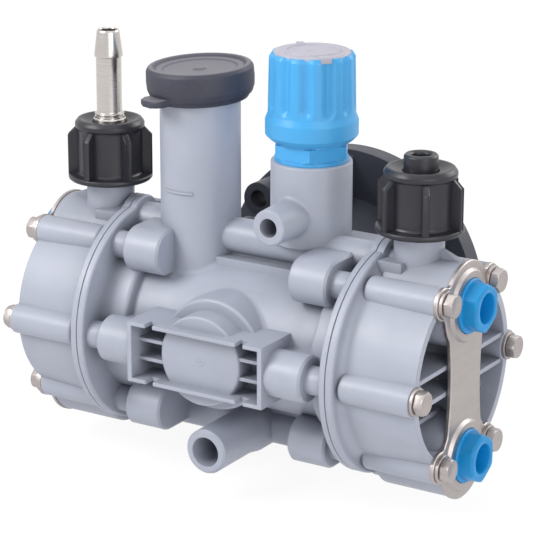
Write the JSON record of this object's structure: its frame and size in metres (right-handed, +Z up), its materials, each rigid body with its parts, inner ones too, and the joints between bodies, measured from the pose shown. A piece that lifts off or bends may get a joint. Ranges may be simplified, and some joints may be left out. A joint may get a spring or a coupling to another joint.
{
  "type": "diaphragm pump",
  "caption": "Opposed diaphragm pump with moulded heads, crank drive, oil filler tube, pressure regulator knob, bypass nozzle and motor flange",
  "frame": {"origin": "middle of the motor face at the back of the drive flange, on the crankshaft axis", "axes": "+X to the right head, +Y out of the motor face along the crankshaft, +Z up"},
  "size_m": [0.2296, 0.144, 0.1995],
  "materials": {
    "grey_polymer": "moulded, fine satin",
    "blue_knob": "satin",
    "blue_plug": "satin",
    "pale_disc": "satin",
    "black_nut": "satin, slightly scuffed",
    "black_flange": "matte",
    "black_rubber": "matte",
    "stainless": "pressed, softly brushed",
    "turned_steel": "turned",
    "bearing_steel": "ground",
    "crank_steel": "machined",
    "cast_alloy": "machined",
    "valve_polymer": "moulded",
    "seal_rubber": "matte",
    "spring_steel": "drawn wire"
  },
  "bodies": {
    "housing": {"crankcase": "grey_polymer", "left_head": "grey_polymer", "right_head": "grey_polymer", "left_diaphragm": "seal_rubber", "right_diaphragm": "seal_rubber", "left_clamp_plate": "stainless", "right_clamp_plate": "stainless", "left_valve_plugs": "blue_plug", "right_valve_plugs": "blue_plug", "head_screws": "stainless", "head_washers": "stainless", "captive_nuts": "stainless", "rod_guides": "cast_alloy", "valve_seats": "valve_polymer", "valve_cages": "valve_polymer", "plug_seals": "seal_rubber", "union_gaskets": "seal_rubber", "hose_barb": "turned_steel", "hose_tail": "black_nut", "front_bearing": "bearing_steel", "rear_bearing": "bearing_steel", "shaft_seal": "seal_rubber", "drive_flange": "black_flange", "flange_screws": "stainless", "regulator_bonnet": "blue_knob", "regulator_seat": "turned_steel", "left_delivery_spring": "spring_steel", "left_suction_spring": "spring_steel", "right_delivery_spring": "spring_steel", "right_suction_spring": "spring_steel", "regulator_spring": "spring_steel"},
    "crank": {"crankshaft": "crank_steel", "cam_bearing": "bearing_steel"},
    "yoke": {"yoke": "cast_alloy", "left_rod": "crank_steel", "right_rod": "crank_steel", "inner_discs": "cast_alloy", "outer_discs": "valve_polymer", "centre_screws": "stainless"},
    "knob": {"regulator_knob": "blue_knob", "knob_insert": "pale_disc", "regulator_spindle": "crank_steel"},
    "spring_seat": {"spring_seat": "crank_steel"},
    "regulator_poppet": {"regulator_poppet": "turned_steel"},
    "left_union_nut": {"left_union_nut": "black_nut"},
    "right_union_nut": {"right_union_nut": "black_nut"},
    "filler_cap": {"filler_cap": "black_rubber"},
    "left_delivery_poppet": {"left_delivery_poppet": "valve_polymer"},
    "left_suction_poppet": {"left_suction_poppet": "valve_polymer"},
    "right_delivery_poppet": {"right_delivery_poppet": "valve_polymer"},
    "right_suction_poppet": {"right_suction_poppet": "valve_polymer"}
  },
  "joints": [
    {"name": "crank_spin", "type": "hinge", "parent": "housing", "child": "crank", "pos_m": [0, -0.09, 0], "axis": [0, 1, 0], "continuous": true},
    {"name": "yoke_slide", "type": "slide", "parent": "housing", "child": "yoke", "axis": [1, 0, 0], "range_m": [-0.003, 0.003], "stiffness_N_per_m": 2000, "deforming": ["left_diaphragm", "right_diaphragm"]},
    {"name": "knob_turn", "type": "hinge", "parent": "housing", "child": "knob", "pos_m": [0.024, -0.085, 0.11], "axis": [0, 0, 1], "range_deg": [-540, 540]},
    {"name": "spring_seat_slide", "type": "slide", "parent": "housing", "child": "spring_seat", "axis": [0, 0, 1], "range_m": [-0.0019, 0.0019], "deforming": ["regulator_spring"]},
    {"name": "regulator_lift", "type": "slide", "parent": "housing", "child": "regulator_poppet", "axis": [0, 0, 1], "range_m": [0, 0.0015], "stiffness_N_per_m": 1500, "springref_m": -0.002, "deforming": ["regulator_spring"]},
    {"name": "left_union_turn", "type": "hinge", "parent": "housing", "child": "left_union_nut", "pos_m": [-0.0812, -0.09, 0.075], "axis": [0, 0, 1], "continuous": true},
    {"name": "right_union_turn", "type": "hinge", "parent": "housing", "child": "right_union_nut", "pos_m": [0.0812, -0.09, 0.075], "axis": [0, 0, 1], "continuous": true},
    {"name": "cap_lift", "type": "slide", "parent": "housing", "child": "filler_cap", "axis": [0, 0, 1], "range_m": [0, 0.03]},
    {"name": "left_delivery_lift", "type": "slide", "parent": "housing", "child": "left_delivery_poppet", "axis": [-1, 0, 0], "range_m": [0, 0.002], "stiffness_N_per_m": 60, "springref_m": -0.002, "deforming": ["left_delivery_spring"]},
    {"name": "left_suction_lift", "type": "slide", "parent": "housing", "child": "left_suction_poppet", "axis": [-1, 0, 0], "range_m": [0, 0.002], "stiffness_N_per_m": 60, "springref_m": -0.002, "deforming": ["left_suction_spring"]},
    {"name": "right_delivery_lift", "type": "slide", "parent": "housing", "child": "right_delivery_poppet", "axis": [1, 0, 0], "range_m": [0, 0.002], "stiffness_N_per_m": 60, "springref_m": -0.002, "deforming": ["right_delivery_spring"]},
    {"name": "right_suction_lift", "type": "slide", "parent": "housing", "child": "right_suction_poppet", "axis": [1, 0, 0], "range_m": [0, 0.002], "stiffness_N_per_m": 60, "springref_m": -0.002, "deforming": ["right_suction_spring"]}
  ],
  "couplings": [
    {"joint": "spring_seat_slide", "follows": "knob_turn", "m_per_rad": 0.00019894}
  ]
}
